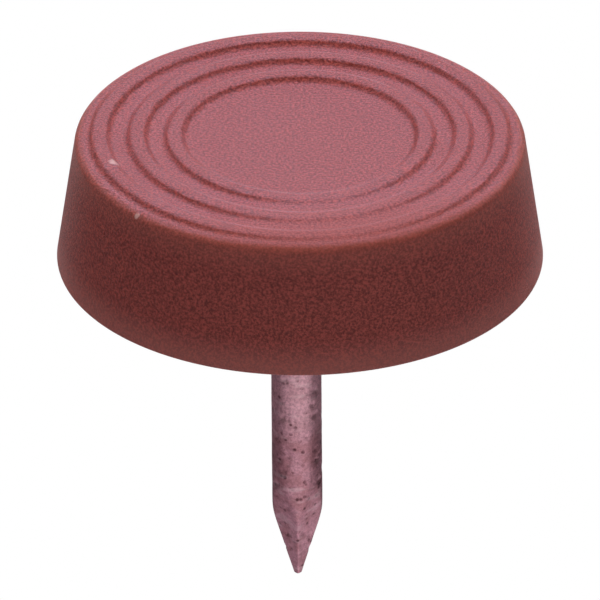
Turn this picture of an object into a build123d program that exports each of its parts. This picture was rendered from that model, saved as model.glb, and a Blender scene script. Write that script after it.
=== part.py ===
from build123d import *
import math
import os

# Nail-on furniture glide: a moulded plastic pad with a steel nail set in its middle.
# It stands on its running face at Z = 0, with the nail pointing up into the furniture leg.
# All sizes are in millimetres.

# Pad body, a straight cone that is widest where it sits against the leg
seat_diameter = 24.0
face_diameter = 22.1
pad_thickness = 6.7
face_edge_radius = 0.45
seat_edge_chamfer = 0.12

# Ring beads that stand proud of the running face
bead_count = 3
bead_pitch = 1.85
bead_width = 1.2
bead_height = 0.26
bead_land_width = 0.25
bead_shoulder_radius = 0.3
bead_shoulder_deg = 34.0
rim_ledge_width = 0.585

# Shallow relief in the seat, between its outer land and the boss round the nail
seat_land_width = 2.2
boss_diameter = 8.0
relief_depth = 0.6
relief_slope_deg = 30.0

# Nail: flat head and tapered neck inside the pad, round shank and four-sided point outside it
nail_diameter = 2.5
nail_projection = 18.0
head_diameter = 5.6
head_thickness = 0.9
head_edge_chamfer = 0.2
head_cover = 2.4
neck_diameter = 3.4
point_length = 3.5
tip_diameter = 0.44

# Heights and radii that follow from the sizes above
seat_radius = seat_diameter / 2
face_radius = face_diameter / 2
nail_radius = nail_diameter / 2
field_height = bead_height
seat_height = field_height + pad_thickness
head_bottom = field_height + head_cover
head_top = head_bottom + head_thickness
tip_height = seat_height + nail_projection
outer_bead_radius = face_radius - rim_ledge_width - bead_width / 2


def bead_lines(radius):
    """One ring bead in section: a flat running land, with a rounded shoulder and a sloped flank each side."""
    turn = math.radians(bead_shoulder_deg)
    shoulder_height = bead_shoulder_radius * (1 - math.cos(turn))
    shoulder_reach = bead_land_width / 2 + bead_shoulder_radius * math.sin(turn)
    for side in (-1, 1):
        land_edge = (radius + side * bead_land_width / 2, 0)
        shoulder_end = (radius + side * shoulder_reach, shoulder_height)
        TangentArc(land_edge, shoulder_end, tangent=(side, 0))
        Line(shoulder_end, (radius + side * bead_width / 2, field_height))
    Line((radius - bead_land_width / 2, 0), (radius + bead_land_width / 2, 0))


def pad_section():
    """Half section of the pad, from its axis out to the side wall."""
    bead_radii = sorted(outer_bead_radius - bead_pitch * ring for ring in range(bead_count))
    relief_outer = seat_radius - seat_land_width
    relief_inner = boss_diameter / 2
    relief_run = relief_depth * math.tan(math.radians(relief_slope_deg))
    relief_floor = seat_height - relief_depth
    with BuildSketch(Plane.XZ) as section:
        with BuildLine():
            field_start = 0
            for radius in bead_radii:
                Line((field_start, field_height), (radius - bead_width / 2, field_height))
                bead_lines(radius)
                field_start = radius + bead_width / 2
            Polyline(
                (field_start, field_height),
                (face_radius, field_height),
                (seat_radius, seat_height),
                (relief_outer, seat_height),
                (relief_outer - relief_run, relief_floor),
                (relief_inner + relief_run, relief_floor),
                (relief_inner, seat_height),
                (0, seat_height),
                (0, field_height),
            )
        make_face()
        rim_corner = section.vertices().sort_by_distance((face_radius, field_height))[0]
        fillet(rim_corner, min(face_edge_radius, rim_ledge_width))
        seat_corner = section.vertices().sort_by_distance((seat_radius, seat_height))[0]
        chamfer(seat_corner, min(seat_edge_chamfer, seat_land_width / 2))
    return section.sketch


def nail_section():
    """Half section of the nail, still with a square end.

    The neck tapers from under the head to the shank's own size at the seat, so the moulding grips it.
    """
    head_radius = head_diameter / 2
    with BuildSketch(Plane.XZ) as section:
        with BuildLine():
            Polyline(
                (0, head_bottom),
                (head_radius - head_edge_chamfer, head_bottom),
                (head_radius, head_bottom + head_edge_chamfer),
                (head_radius, head_top),
                (neck_diameter / 2, head_top),
                (nail_radius, seat_height),
                (nail_radius, tip_height),
                (0, tip_height),
                (0, head_bottom),
            )
        make_face()
    return section.sketch


def point_facets():
    """The planes of the four faces that the cutting dies leave on the wire's end.

    Each faces outwards between the X and Y axes. The edges between them lie on those axes, and run out
    into the wire's surface one point length below the tip.
    """
    edge_slope = (nail_radius - tip_diameter / 2) / point_length
    lean = math.atan(edge_slope / math.sqrt(2))
    tip_reach = tip_diameter / 2 / math.sqrt(2)
    facets = []
    for turn in (45, 135, 225, 315):
        across = Vector(1, 0, 0).rotate(Axis.Z, turn)
        outward = across * math.cos(lean) + Vector(0, 0, 1) * math.sin(lean)
        facets.append(Plane(origin=across * tip_reach + Vector(0, 0, tip_height), z_dir=outward))
    return facets


def make_nail():
    """The wire nail, headed and pointed."""
    nail = revolve(nail_section(), Axis.Z)
    for facet in point_facets():
        nail = split(nail, bisect_by=facet, keep=Keep.BOTTOM)
    return nail


def make_pad(nail):
    """The pad, moulded round the nail's head and neck, so that its hollow is the nail's own form."""
    return revolve(pad_section(), Axis.Z) - nail


os.makedirs("parts", exist_ok=True)
nail = make_nail()
export_step(nail, "parts/nail.step")
export_step(make_pad(nail), "parts/glide_pad.step")
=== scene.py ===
import math
import random

import bmesh
import bpy
from mathutils import Matrix, Vector, noise


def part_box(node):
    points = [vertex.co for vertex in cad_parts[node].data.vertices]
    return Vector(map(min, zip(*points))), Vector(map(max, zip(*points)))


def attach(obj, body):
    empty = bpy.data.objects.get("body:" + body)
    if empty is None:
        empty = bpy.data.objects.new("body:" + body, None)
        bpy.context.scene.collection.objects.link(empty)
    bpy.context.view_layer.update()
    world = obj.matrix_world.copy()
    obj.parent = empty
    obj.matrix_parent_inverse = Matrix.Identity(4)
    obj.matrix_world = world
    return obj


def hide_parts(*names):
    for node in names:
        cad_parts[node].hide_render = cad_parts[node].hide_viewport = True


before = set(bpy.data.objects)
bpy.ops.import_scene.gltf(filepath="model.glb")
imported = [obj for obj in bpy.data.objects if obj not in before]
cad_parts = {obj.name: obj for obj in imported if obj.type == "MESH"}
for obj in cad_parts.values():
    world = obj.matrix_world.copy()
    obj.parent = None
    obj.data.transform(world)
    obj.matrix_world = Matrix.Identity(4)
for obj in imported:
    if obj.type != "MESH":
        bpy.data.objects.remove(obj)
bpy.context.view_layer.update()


# Nail: drawn steel wire, headed at one end and nipped to a four-sided point at the other. Its flat
# head and tapered neck are locked in the moulding. The shank and point stand out of the pad's seat,
# a little off its middle, and are dull, stained reddish, and pitted and scuffed by handling.
millimetre = 0.001
nail_low, nail_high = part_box("nail")
nail_head_radius = nail_high.x / millimetre
nail_head_bottom = nail_low.z / millimetre
nail_tip_height = nail_high.z / millimetre
nail_head_thickness = 0.9
nail_head_edge = 0.2
nail_head_round = 0.05
nail_neck_radius = 1.7
nail_radius = 1.25
nail_point_length = 3.5
nail_tip_radius = 0.22
nail_tip_dome = 0.06
nail_edge_roll = 0.06
head_top = nail_head_bottom + nail_head_thickness
seat_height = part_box("glide_pad")[1].z / millimetre

nail_sides = 128
nail_shank_ring_gap = 0.08
nail_point_ring_gap = 0.06
nail_offset_at_seat = 0.23
nail_offset_at_tip = 0.1
nail_dent_start = seat_height + 0.05
nail_dent_size = 0.9
nail_dent_depth = 0.015
nail_deepest_share = 0.2
nail_pit_count = 130
nail_pit_heights = (seat_height + 0.3, nail_tip_height - 1.2)
nail_pit_width = (0.09, 0.2)
nail_pit_depth = (0.015, 0.045)
nail_pit_reach = 0.5

steel_clean = (0.75, 0.38, 0.45, 1)
steel_stained = (0.57, 0.262, 0.297, 1)
steel_near_seat = (0.93, 0.56, 0.63, 1)
steel_specked = (0.24, 0.11, 0.13, 1)
steel_rusted = (0.1, 0.035, 0.045, 1)
steel_scuffed = (0.95, 0.68, 0.72, 1)


def ring_skin(name, rings, first_pole, last_pole):
    """A closed mesh object, in metres, from rings of points in millimetres that follow one another.

    Each end is gathered in one point. Neighbouring rings are joined with four-sided faces.
    """
    mesh = bpy.data.meshes.new(name)
    work = bmesh.new()
    rows = [[work.verts.new(Vector(point) * millimetre) for point in ring] for ring in rings]
    for pole, row, turned in ((first_pole, rows[0], False), (last_pole, rows[-1], True)):
        hub = work.verts.new(Vector(pole) * millimetre)
        for here, after in zip(row, row[1:] + row[:1]):
            work.faces.new((hub, here, after) if turned else (hub, after, here))
    for inner, outer in zip(rows, rows[1:]):
        for step in range(len(inner)):
            after = (step + 1) % len(inner)
            work.faces.new((inner[step], inner[after], outer[after], outer[step]))
    for face in work.faces:
        face.smooth = True
    work.to_mesh(mesh)
    work.free()
    piece = bpy.data.objects.new(name, mesh)
    bpy.context.scene.collection.objects.link(piece)
    return piece


def rounded_line(corners, arc_steps, longest_run):
    """Points along a section line. Each corner is (distance out, height, blend radius)."""
    places = [Vector((out, height)) for out, height, blend in corners]
    line = [places[0]]
    for number in range(1, len(corners) - 1):
        corner = places[number]
        backward = (places[number - 1] - corner).normalized()
        forward = (places[number + 1] - corner).normalized()
        blend = corners[number][2]
        if blend == 0:
            line.append(corner)
            continue
        half = backward.angle(forward) / 2
        middle = corner + (backward + forward).normalized() * blend / math.sin(half)
        first = corner + backward * blend / math.tan(half) - middle
        last = corner + forward * blend / math.tan(half) - middle
        for step in range(arc_steps + 1):
            line.append(middle + first.slerp(last, step / arc_steps) * blend)
    line.append(places[-1])
    filled = [line[0]]
    for start, end in zip(line, line[1:]):
        parts = max(1, math.ceil((end - start).length / longest_run))
        filled.extend(start.lerp(end, part / parts) for part in range(1, parts + 1))
    return filled


def turns_round(sides):
    return [2 * math.pi * side / sides for side in range(sides)]


def round_ring(out, height, sides):
    return [Vector((out * math.cos(turn), out * math.sin(turn), height)) for turn in turns_round(sides)]


def even_heights(start, end, longest_gap):
    """Heights that divide a stretch evenly, from just after its start up to its end."""
    steps = math.ceil((end - start) / longest_gap)
    return [start + (end - start) * (step + 1) / steps for step in range(steps)]


def nail_offset(height):
    """How far the nail's axis has strayed along X. It starts true at the head and leans back to the tip."""
    if height < seat_height:
        rise = max(0, height - head_top) / (seat_height - head_top)
        return Vector((nail_offset_at_seat * rise * rise * (3 - 2 * rise), 0, 0))
    rise = (height - seat_height) / (nail_tip_height - seat_height)
    return Vector((nail_offset_at_seat + (nail_offset_at_tip - nail_offset_at_seat) * rise, 0, 0))


def point_reach(turn, height):
    """How far the wire reaches from its axis in the point: to its own surface or to a nipped face.

    The edges between the four faces lie on the X and Y axes. All edges are slightly rolled over.
    Faces that look the other way don't count.
    """
    slope = (nail_radius - nail_tip_radius) / nail_point_length / math.sqrt(2)
    face_distance = nail_tip_radius / math.sqrt(2) + (nail_tip_height - height) * slope
    reaches = [nail_radius]
    for face_middle in (45, 135, 225, 315):
        facing = math.cos(turn - math.radians(face_middle))
        if facing > 0.2:
            reaches.append(face_distance / facing)
    return -nail_edge_roll * math.log(sum(math.exp(-reach / nail_edge_roll) for reach in reaches))


neck_line = rounded_line(
    [
        (0.0, nail_head_bottom, 0),
        (nail_head_radius, nail_head_bottom, nail_head_edge),
        (nail_head_radius, head_top, nail_head_round),
        (nail_neck_radius, head_top, nail_head_round),
        (nail_radius, seat_height, 0),
    ],
    arc_steps=4,
    longest_run=0.4,
)
nail_rings = [round_ring(out, height, nail_sides) for out, height in neck_line[1:]]
# The rolled edges of the point fade out on the round wire two point lengths below the tip.
knee_height = nail_tip_height - nail_point_length * 2
for height in even_heights(seat_height, knee_height, nail_shank_ring_gap):
    nail_rings.append(round_ring(nail_radius, height, nail_sides))
dome_start = nail_tip_height - nail_tip_dome
for height in even_heights(knee_height, dome_start, nail_point_ring_gap):
    ring = []
    for turn in turns_round(nail_sides):
        reach = point_reach(turn, height)
        ring.append(Vector((reach * math.cos(turn), reach * math.sin(turn), height)))
    nail_rings.append(ring)
last_ring = nail_rings[-1]
for share in (0.3, 0.6, 0.85):
    rise = nail_tip_dome * math.sin(share * math.pi / 2)
    shrink = math.cos(share * math.pi / 2)
    nail_rings.append([Vector((p.x * shrink, p.y * shrink, dome_start + rise)) for p in last_ring])

dice = random.Random(8)
nail_pits = []
for pit in range(nail_pit_count):
    turn = dice.uniform(0, 2 * math.pi)
    pit_height = dice.uniform(*nail_pit_heights)
    reach = min(nail_radius, point_reach(turn, pit_height))
    place = Vector((reach * math.cos(turn), reach * math.sin(turn), pit_height))
    nail_pits.append((place, dice.uniform(*nail_pit_width), dice.uniform(*nail_pit_depth)))
for ring in nail_rings:
    ring_height = ring[0].z
    if ring_height <= nail_dent_start:
        continue
    near_pits = [pit for pit in nail_pits if abs(pit[0].z - ring_height) < nail_pit_reach]
    for point in ring:
        dent = (noise.noise(point / nail_dent_size) + 1) / 2 * nail_dent_depth
        for place, width, depth in near_pits:
            apart = (point - place).length / width
            if apart < 2:
                dent += depth * math.exp(-apart * apart)
        side = Vector((point.x, point.y, 0))
        dent = min(dent, side.length * nail_deepest_share)
        point -= side.normalized() * dent
for ring in nail_rings:
    for point in ring:
        point += nail_offset(point.z)

nail_tip = Vector((0, 0, nail_tip_height)) + nail_offset(nail_tip_height)
nail = ring_skin("nail_wire", nail_rings, (0, 0, nail_head_bottom), nail_tip)


def shader_node(tree, kind, inputs=None, **settings):
    """Adds a shader node. Its inputs are plain values, or other nodes' outputs to be joined on."""
    node = tree.nodes.new("ShaderNode" + kind)
    for name, value in settings.items():
        setattr(node, name, value)
    for name, value in (inputs or {}).items():
        if isinstance(value, bpy.types.NodeSocket):
            tree.links.new(value, node.inputs[name])
        else:
            node.inputs[name].default_value = value
    return node


def maths(tree, operation, *values):
    return shader_node(tree, "Math", dict(enumerate(values)), operation=operation).outputs["Value"]


def stretched(tree, value, start, end, at_start, at_end, easing="SMOOTHSTEP"):
    """A value that runs from one figure to another while the given value runs from start to end."""
    inputs = {"Value": value, "From Min": start, "From Max": end, "To Min": at_start, "To Max": at_end}
    return shader_node(tree, "MapRange", inputs, interpolation_type=easing).outputs["Result"]


def colour_mix(tree, share, first, second):
    return shader_node(tree, "Mix", {0: share, 6: first, 7: second}, data_type="RGBA").outputs[2]


def height_of(tree, vector):
    return shader_node(tree, "SeparateXYZ", {"Vector": vector}).outputs["Z"]


def new_material(name):
    """A material with an empty node tree and its output node."""
    material = bpy.data.materials.new(name)
    material.use_nodes = True
    tree = material.node_tree
    tree.nodes.clear()
    return material, tree, tree.nodes.new("ShaderNodeOutputMaterial")


def grain_group():
    """Fine random grain of a given size: a height for bump, and a mask of its darkest grains."""
    group = bpy.data.node_groups.new("fine_grain", "ShaderNodeTree")
    for name, kind in (
        ("Position", "NodeSocketVector"),
        ("Grains per metre", "NodeSocketFloat"),
        ("Unevenness", "NodeSocketFloat"),
    ):
        group.interface.new_socket(name=name, in_out="INPUT", socket_type=kind)
    for name in ("Height", "Dark grains"):
        group.interface.new_socket(name=name, in_out="OUTPUT", socket_type="NodeSocketFloat")
    start = group.nodes.new("NodeGroupInput")
    end = group.nodes.new("NodeGroupOutput")
    fine = shader_node(
        group,
        "TexNoise",
        {
            "Vector": start.outputs["Position"],
            "Scale": start.outputs["Grains per metre"],
            "Detail": 4.0,
            "Roughness": start.outputs["Unevenness"],
        },
    )
    dark = stretched(group, fine.outputs["Fac"], 0.37, 0.63, 1.0, 0.0)
    group.links.new(fine.outputs["Fac"], end.inputs["Height"])
    group.links.new(dark, end.inputs["Dark grains"])
    return group


fine_grain = grain_group()


def add_grain(tree, position, grains_per_metre, unevenness):
    node = tree.nodes.new("ShaderNodeGroup")
    node.node_tree = fine_grain
    tree.links.new(position, node.inputs["Position"])
    node.inputs["Grains per metre"].default_value = grains_per_metre
    node.inputs["Unevenness"].default_value = unevenness
    return node


nail_steel, tree, output = new_material("nail_steel")
place = shader_node(tree, "TexCoord").outputs["Object"]
along_wire = shader_node(tree, "Mapping", {"Vector": place, "Scale": (1.0, 1.0, 0.05)}).outputs["Vector"]
draw_lines = add_grain(tree, along_wire, grains_per_metre=9000.0, unevenness=0.6)
specks = add_grain(tree, place, grains_per_metre=6500.0, unevenness=0.75)

stain = shader_node(tree, "TexNoise", {"Vector": place, "Scale": 900.0, "Detail": 4.0, "Roughness": 0.6})
stain_share = stretched(tree, stain.outputs["Fac"], 0.4, 0.62, 0.0, 1.0)
steel_colour = colour_mix(tree, stain_share, steel_clean, steel_stained)

bright_until = (seat_height + 8.5) * millimetre
bright_end = (seat_height + 10.5) * millimetre
bright_share = stretched(tree, height_of(tree, place), bright_until, bright_end, 0.45, 0.0)
steel_colour = colour_mix(tree, bright_share, steel_colour, steel_near_seat)

speck_share = maths(tree, "MULTIPLY", specks.outputs["Dark grains"], 0.48)
steel_colour = colour_mix(tree, speck_share, steel_colour, steel_specked)

rust_cells = shader_node(tree, "TexVoronoi", {"Vector": place, "Scale": 2600.0, "Randomness": 1.0})
rust_pits = stretched(tree, rust_cells.outputs["Distance"], 0.16, 0.34, 0.9, 0.0)
rust_share = maths(tree, "MULTIPLY", rust_pits, stain_share)
steel_colour = colour_mix(tree, rust_share, steel_colour, steel_rusted)

scuff_way = shader_node(
    tree, "Mapping", {"Vector": place, "Rotation": (0.0, math.radians(30), 0.0), "Scale": (1.0, 1.0, 3.5)}
)
scuffs = shader_node(
    tree, "TexNoise", {"Vector": scuff_way.outputs["Vector"], "Scale": 700.0, "Detail": 2.0}
)
scuff_share = stretched(tree, scuffs.outputs["Fac"], 0.56, 0.68, 0.0, 0.28)
steel_colour = colour_mix(tree, scuff_share, steel_colour, steel_scuffed)

steel_relief = maths(tree, "ADD", draw_lines.outputs["Height"], specks.outputs["Height"])
steel_bump = shader_node(tree, "Bump", {"Strength": 0.35, "Distance": 0.00003, "Height": steel_relief})
steel = shader_node(
    tree,
    "BsdfPrincipled",
    {
        "Base Color": steel_colour,
        "Metallic": 1.0,
        "Roughness": stretched(tree, specks.outputs["Height"], 0.0, 1.0, 0.3, 0.5, "LINEAR"),
        "Normal": steel_bump.outputs["Normal"],
    },
)
tree.links.new(steel.outputs["BSDF"], output.inputs["Surface"])
nail.data.materials.append(nail_steel)

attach(nail, "root")
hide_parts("nail")


# Pad: one moulding of matt reddish brown plastic, made round the nail's head and neck. Three ring
# beads, worn down at the near side, stand proud of the face that slides on the floor. The wall is a
# straight cone, widest at the seat, whose shallow relief leaves an outer land and a boss at the nail.
field_height = 0.26
seat_radius = 12.0
face_radius = 11.05
face_edge_round = 0.47
seat_edge_round = 0.14
bead_radii = (6.165, 8.015, 9.865)
bead_half_width = 0.58
bead_crest_half_width = 0.31
bead_shoulder_round = 0.36
bead_foot_round = 0.44
relief_outer = 9.8
relief_inner = 4.0
relief_slope_run = 0.346
relief_depth = 0.6
relief_round = 0.12
nail_lip_round = 0.09
worn_side = Vector((-0.21, -0.98))
worn_side_spread = 35.0
bead_wear = 0.66
pad_sides = 320

plastic_light = (0.64, 0.111, 0.086, 1)
plastic_deep = (0.57, 0.093, 0.074, 1)
plastic_grains = (0.15, 0.014, 0.0125, 1)
# The next two colours are painted light: a glow round the rim, and bounce light on the wall towards the
# seat.
plastic_painted_glow = (0.74, 0.21, 0.165, 1)
plastic_painted_bounce = (0.68, 0.205, 0.18, 1)
plastic_rubbed = (0.375, 0.0625, 0.03, 1)
plastic_pale_spot = (0.82, 0.45, 0.41, 1)
# Where the painted glow round the rim and the painted bounce light near the seat lie, in millimetres, and
# how strong the rim glow is.
rim_glow_start = field_height + 0.01
rim_glow_peak = field_height + 0.06
rim_glow_end = 1.9
rim_glow_share = 0.3
painted_bounce_start = seat_height - 2.1
rubbed_from = 5.0

section = [(0.0, field_height, 0)]
for radius in bead_radii:
    section += [
        (radius - bead_half_width, field_height, bead_foot_round),
        (radius - bead_crest_half_width, 0.0, bead_shoulder_round),
        (radius + bead_crest_half_width, 0.0, bead_shoulder_round),
        (radius + bead_half_width, field_height, bead_foot_round),
    ]
relief_floor = seat_height - relief_depth
section += [
    (face_radius, field_height, face_edge_round),
    (seat_radius, seat_height, seat_edge_round),
    (relief_outer, seat_height, relief_round),
    (relief_outer - relief_slope_run, relief_floor, relief_round),
    (relief_inner + relief_slope_run, relief_floor, relief_round),
    (relief_inner, seat_height, relief_round),
    (nail_radius, seat_height, nail_lip_round),
    (nail_neck_radius, head_top, 0),
    (nail_head_radius, head_top, 0),
    (nail_head_radius, nail_head_bottom + nail_head_edge, 0),
    (nail_head_radius - nail_head_edge, nail_head_bottom, 0),
    (0.0, nail_head_bottom, 0),
]
pad_line = rounded_line(section, arc_steps=5, longest_run=0.4)
pad_rings = [round_ring(out, height, pad_sides) for out, height in pad_line[1:-1]]
for ring in pad_rings:
    for point in ring:
        proud = max(0, field_height - point.z)
        away = math.degrees(Vector((point.x, point.y)).angle(worn_side))
        point.z += proud * bead_wear * math.exp(-((away / worn_side_spread) ** 2))
# The hole and the flat top of the boss follow the nail, whose axis has strayed.
boss_flat_radius = relief_inner - 2 * relief_round
for ring in pad_rings:
    if ring[0].z > head_top and Vector((ring[0].x, ring[0].y)).length < boss_flat_radius:
        for point in ring:
            point += nail_offset(point.z)
pad = ring_skin("pad_moulding", pad_rings, (0, 0, field_height), (0, 0, nail_head_bottom))


def small_pale_spot(tree, position, centre, width, ragged):
    """A mask of one small pale spot with an uneven outline. Its centre and sizes are in millimetres."""
    wobble = shader_node(tree, "TexNoise", {"Vector": position, "Scale": 6000.0, "Detail": 2.0})
    middle = [value * millimetre for value in centre]
    apart = shader_node(tree, "VectorMath", {0: position, 1: middle}, operation="DISTANCE")
    pushed = maths(
        tree, "MULTIPLY_ADD", wobble.outputs["Fac"], ragged * millimetre, apart.outputs["Value"]
    )
    inner = (width * 0.4 + ragged * 0.5) * millimetre
    outer = (width + ragged * 0.5) * millimetre
    return stretched(tree, pushed, inner, outer, 1.0, 0.0)


pad_plastic, tree, output = new_material("pad_plastic")
place = shader_node(tree, "TexCoord").outputs["Object"]
height_on_pad = height_of(tree, place)
mould_grain = add_grain(tree, place, grains_per_metre=7500.0, unevenness=0.75)
cloud = shader_node(tree, "TexNoise", {"Vector": place, "Scale": 350.0, "Detail": 3.0})
plastic_colour = colour_mix(tree, cloud.outputs["Fac"], plastic_light, plastic_deep)
grain_share = maths(tree, "MULTIPLY", mould_grain.outputs["Dark grains"], 0.9)
plastic_colour = colour_mix(tree, grain_share, plastic_colour, plastic_grains)

# Painted light: a paler glow runs round the rim and fades out up the wall. Painted bounce light, also
# paler, comes in on the wall towards the seat.
up_wall = stretched(tree, height_on_pad, 0.0, rim_glow_end * millimetre, 0.0, 1.0, "LINEAR")
painted_rim_glow = shader_node(tree, "ValToRGB", {"Fac": up_wall})
glow_steps = painted_rim_glow.color_ramp.elements
glow_steps[0].position = rim_glow_start / rim_glow_end
glow_steps[0].color = (0, 0, 0, 1)
glow_steps[1].position = 1.0
glow_steps[1].color = (0, 0, 0, 1)
peak_step = glow_steps.new(rim_glow_peak / rim_glow_end)
peak_step.color = (rim_glow_share, rim_glow_share, rim_glow_share, 1)
plastic_colour = colour_mix(tree, painted_rim_glow.outputs["Color"], plastic_colour, plastic_painted_glow)

# Painted bounce light: the wall turns paler towards the seat, but the seat itself does not.
high_on_wall = stretched(
    tree, height_on_pad, painted_bounce_start * millimetre, seat_height * millimetre, 0.0, 0.6
)
facing_up = height_of(tree, shader_node(tree, "NewGeometry").outputs["Normal"])
off_seat = stretched(tree, facing_up, 0.0, 0.5, 1.0, 0.0, "LINEAR")
painted_bounce_share = maths(tree, "MULTIPLY", high_on_wall, off_seat)
plastic_colour = colour_mix(tree, painted_bounce_share, plastic_colour, plastic_painted_bounce)

# Two small pale spots: one on the outer bead's crest, one at the rim's edge.
bead_pale_spot = small_pale_spot(tree, place, centre=(9.13, -2.9, 0.05), width=0.34, ragged=0.3)
rim_pale_spot = small_pale_spot(tree, place, centre=(8.0, -7.6, 0.4), width=0.2, ragged=0.2)
pale_spots = maths(tree, "MAXIMUM", bead_pale_spot, rim_pale_spot)
plastic_colour = colour_mix(tree, pale_spots, plastic_colour, plastic_pale_spot)

# The worn side of the face is rubbed to a plainer colour and a duller gloss.
towards_worn_side = shader_node(
    tree, "VectorMath", {0: place, 1: worn_side.to_3d()}, operation="DOT_PRODUCT"
)
rubbed = stretched(
    tree,
    towards_worn_side.outputs["Value"],
    rubbed_from * millimetre,
    face_radius * millimetre,
    0.0,
    0.46,
)
face_end = (field_height + face_edge_round) * millimetre
on_face = stretched(tree, height_on_pad, field_height * millimetre, face_end, 1.0, 0.0, "LINEAR")
rubbed = maths(tree, "MULTIPLY", rubbed, on_face)
plastic_colour = colour_mix(tree, rubbed, plastic_colour, plastic_rubbed)

plastic_bump = shader_node(
    tree, "Bump", {"Strength": 0.85, "Distance": 0.0001, "Height": mould_grain.outputs["Height"]}
)
grain_roughness = stretched(tree, mould_grain.outputs["Height"], 0.0, 1.0, 0.3, 0.44, "LINEAR")
plastic = shader_node(
    tree,
    "BsdfPrincipled",
    {
        "Base Color": plastic_colour,
        "Roughness": maths(tree, "MULTIPLY_ADD", rubbed, 0.6, grain_roughness),
        "IOR": 1.45,
        "Normal": plastic_bump.outputs["Normal"],
    },
)
tree.links.new(plastic.outputs["BSDF"], output.inputs["Surface"])
pad.data.materials.append(pad_plastic)

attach(pad, "root")
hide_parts("glide_pad")


# Floor: a plain pale sheet under the glide's running face. The photograph looks at that face from
# below it, so the sheet shows only from above, where it takes the glide's shadow. Reflections see
# it as grey paper, apart from those of the face itself, which lies on it.
floor_half_width = 1.5
face_reflection_reach = 0.75
floor_mesh = bpy.data.meshes.new("floor")
floor_mesh.from_pydata(
    [
        (across * floor_half_width, along * floor_half_width, 0.0)
        for across, along in ((-1, -1), (1, -1), (1, 1), (-1, 1))
    ],
    [],
    [(0, 1, 2, 3)],
)
floor = bpy.data.objects.new("floor", floor_mesh)
bpy.context.scene.collection.objects.link(floor)
floor_paper, tree, output = new_material("floor_paper")
rays = shader_node(tree, "LightPath").outputs
from_above = maths(tree, "SUBTRACT", 1.0, shader_node(tree, "NewGeometry").outputs["Backfacing"])
paper = shader_node(tree, "BsdfDiffuse", {"Color": (0.8, 0.8, 0.8, 1)})
nothing = shader_node(tree, "BsdfTransparent")
shown = maths(tree, "MULTIPLY", rays["Is Camera Ray"], from_above)
sheet = shader_node(
    tree, "MixShader", {0: shown, 1: nothing.outputs["BSDF"], 2: paper.outputs["BSDF"]}
)
far_enough = maths(tree, "GREATER_THAN", rays["Ray Length"], face_reflection_reach * millimetre)
mirrored = maths(tree, "MULTIPLY", rays["Is Glossy Ray"], far_enough)
mirrored = maths(tree, "MULTIPLY", mirrored, from_above)
mirrored_paper = shader_node(tree, "Emission", {"Color": (0.4, 0.4, 0.4, 1)})
sheet = shader_node(
    tree,
    "MixShader",
    {0: mirrored, 1: sheet.outputs["Shader"], 2: mirrored_paper.outputs["Emission"]},
)
tree.links.new(sheet.outputs["Shader"], output.inputs["Surface"])
floor_mesh.materials.append(floor_paper)


# Lamps: soft panels below the running face, on the far side, near, left, right and over the seat.
# Reflections see a white room in their place, with dark cards at the sides, dim ones behind the nail
# and a bright lilac one low on the far side, which gives the running face its gloss.
lamp_distance = 2.0
for name, towards, width, radiance in (
    ("panel_face", (0.0, 0.17, -0.98), 2.0, 2.88),
    ("panel_skimming", (-0.24, 0.91, -0.34), 1.8, 1.65),
    ("panel_near", (0.0, -0.9, 0.44), 1.2, 1.2),
    ("panel_left", (0.7, 0.72, 0.2), 1.2, 1.26),
    ("panel_right", (-0.7, 0.72, 0.2), 1.2, 1.26),
    ("panel_seat", (0.0, 0.35, 1.0), 2.4, 1.8),
):
    lamp = bpy.data.lights.new(name, "AREA")
    lamp.shape = "SQUARE"
    lamp.size = width
    lamp.energy = radiance * math.pi * width * width
    way = Vector(towards).normalized()
    panel = bpy.data.objects.new(name, lamp)
    panel.matrix_world = Matrix.LocRotScale(way * lamp_distance, way.to_track_quat("Z", "Y"), None)
    panel.visible_camera = False
    panel.visible_glossy = False
    bpy.context.scene.collection.objects.link(panel)

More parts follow.
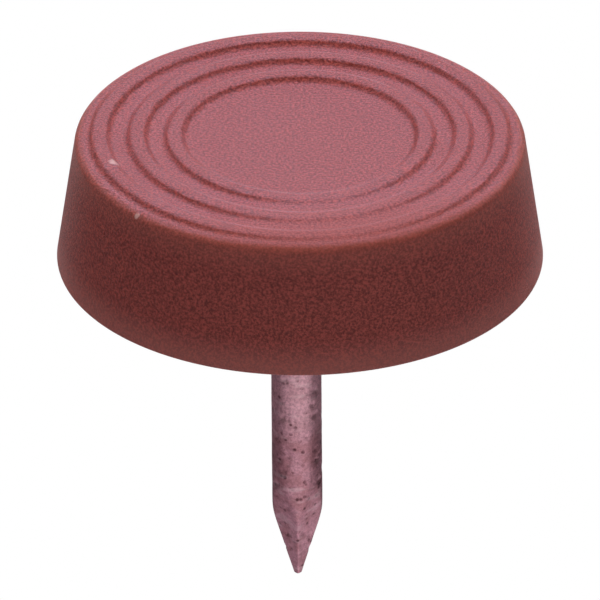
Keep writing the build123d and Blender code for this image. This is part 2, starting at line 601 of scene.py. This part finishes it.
# Each card is curved round the upright axis. Its turns are in degrees from the near side, and its
# heights in metres.
card_distance = 0.9
card_steps = 24
dark = (0.03, 0.03, 0.03, 1)
dim = (0.2, 0.16, 0.18, 1)
dull = (0.42, 0.38, 0.42, 1)
half = (0.72, 0.68, 0.72, 1)
grey = (0.3, 0.3, 0.3, 1)
near_grey = (0.25, 0.25, 0.25, 1)
lilac = (9.4, 9.4, 13.4, 1)
pale_lilac = (2.4, 2.4, 3.4, 1)
for name, colour, turns, heights in (
    ("card_behind_nail", dim, (64, 293), (0.44, 0.7)),
    ("card_beside_nail", half, (20, 64), (0.44, 0.7)),
    ("card_beyond_tip_left", dull, (0, 180), (0.7, 6.0)),
    ("card_beyond_tip_right", half, (180, 360), (0.7, 6.0)),
    ("card_left", dark, (50, 150), (-1.6, -0.05)),
    ("card_right", dark, (210, 310), (-1.6, -0.05)),
    ("card_far_left", dark, (150, 159), (-1.6, -0.28)),
    ("card_far_right", dark, (201, 210), (-1.6, -0.28)),
    ("card_left_low", dark, (50, 150), (-0.05, 0.44)),
    ("card_right_low", dark, (210, 310), (-0.05, 0.44)),
    ("card_near", near_grey, (-50, 50), (-1.6, 0.32)),
    ("card_horizon", grey, (150, 210), (-0.28, 0.34)),
    ("card_horizon_high", grey, (165, 195), (0.34, 0.44)),
    ("card_far_middle", pale_lilac, (159, 201), (-0.43, -0.28)),
    ("card_far_low", lilac, (159, 201), (-0.9, -0.43)),
    ("card_far_high", grey, (159, 201), (-1.6, -0.9)),
):
    card_paint, tree, output = new_material(name)
    paint = shader_node(tree, "Emission", {"Color": colour})
    tree.links.new(paint.outputs["Emission"], output.inputs["Surface"])
    points = []
    for step in range(card_steps + 1):
        turn = math.radians(turns[0] + (turns[1] - turns[0]) * step / card_steps)
        for height in heights:
            points.append((card_distance * math.sin(turn), -card_distance * math.cos(turn), height))
    faces = [(2 * step, 2 * step + 2, 2 * step + 3, 2 * step + 1) for step in range(card_steps)]
    mesh = bpy.data.meshes.new(name)
    mesh.from_pydata(points, [], faces)
    mesh.materials.append(card_paint)
    card = bpy.data.objects.new(name, mesh)
    bpy.context.scene.collection.objects.link(card)
    card.visible_camera = False
    card.visible_diffuse = False
    card.visible_transmission = False
    card.visible_volume_scatter = False
    card.visible_shadow = False

# The room gives more even light to what faces up, the seat, than to what faces down, the face.
room_light_at_face = 0.035
room_light_at_seat = 0.215
room_light_turnover = 0.15
room = bpy.data.worlds.new("room")
bpy.context.scene.world = room
room.use_nodes = True
tree = room.node_tree
tree.nodes.clear()
rays = shader_node(tree, "LightPath").outputs
seen = maths(tree, "MAXIMUM", rays["Is Camera Ray"], rays["Is Glossy Ray"])
seen = maths(tree, "MAXIMUM", seen, rays["Is Transmission Ray"])
room_light = stretched(
    tree,
    height_of(tree, shader_node(tree, "TexCoord").outputs["Generated"]),
    -room_light_turnover,
    room_light_turnover,
    room_light_at_face,
    room_light_at_seat,
    "LINEAR",
)
ambient = shader_node(tree, "Background", {"Color": (1, 1, 1, 1), "Strength": room_light})
white = shader_node(tree, "Background", {"Color": (1, 1, 1, 1), "Strength": 1.0})
mixed = shader_node(
    tree, "MixShader", {0: seen, 1: ambient.outputs["Background"], 2: white.outputs["Background"]}
)
output = tree.nodes.new("ShaderNodeOutputWorld")
tree.links.new(mixed.outputs["Shader"], output.inputs["Surface"])
bpy.context.scene.view_settings.view_transform = "Standard"


# Camera: a long lens 29.5 degrees off the running face, as in the photograph, with the nail hanging
# down. Its stand and the width of its view are in millimetres.
camera_distance = 1300.0
view_width = 29.6
view_lift = math.radians(29.5)
sight_height = 9.44
camera_data = bpy.data.cameras.new("camera")
camera_data.sensor_width = 36.0
camera_data.lens = camera_data.sensor_width * camera_distance / view_width
camera_data.clip_start = 0.05
camera_data.clip_end = 10.0
camera = bpy.data.objects.new("camera", camera_data)
bpy.context.scene.collection.objects.link(camera)
right = Vector((-1, 0, 0))
up = Vector((0, math.sin(view_lift), -math.cos(view_lift)))
back = Vector((0, -math.cos(view_lift), -math.sin(view_lift)))
stand = (Vector((0, 0, sight_height)) + back * camera_distance) * millimetre
camera.matrix_world = Matrix.Translation(stand) @ Matrix((right, up, back)).transposed().to_4x4()
bpy.context.scene.camera = camera
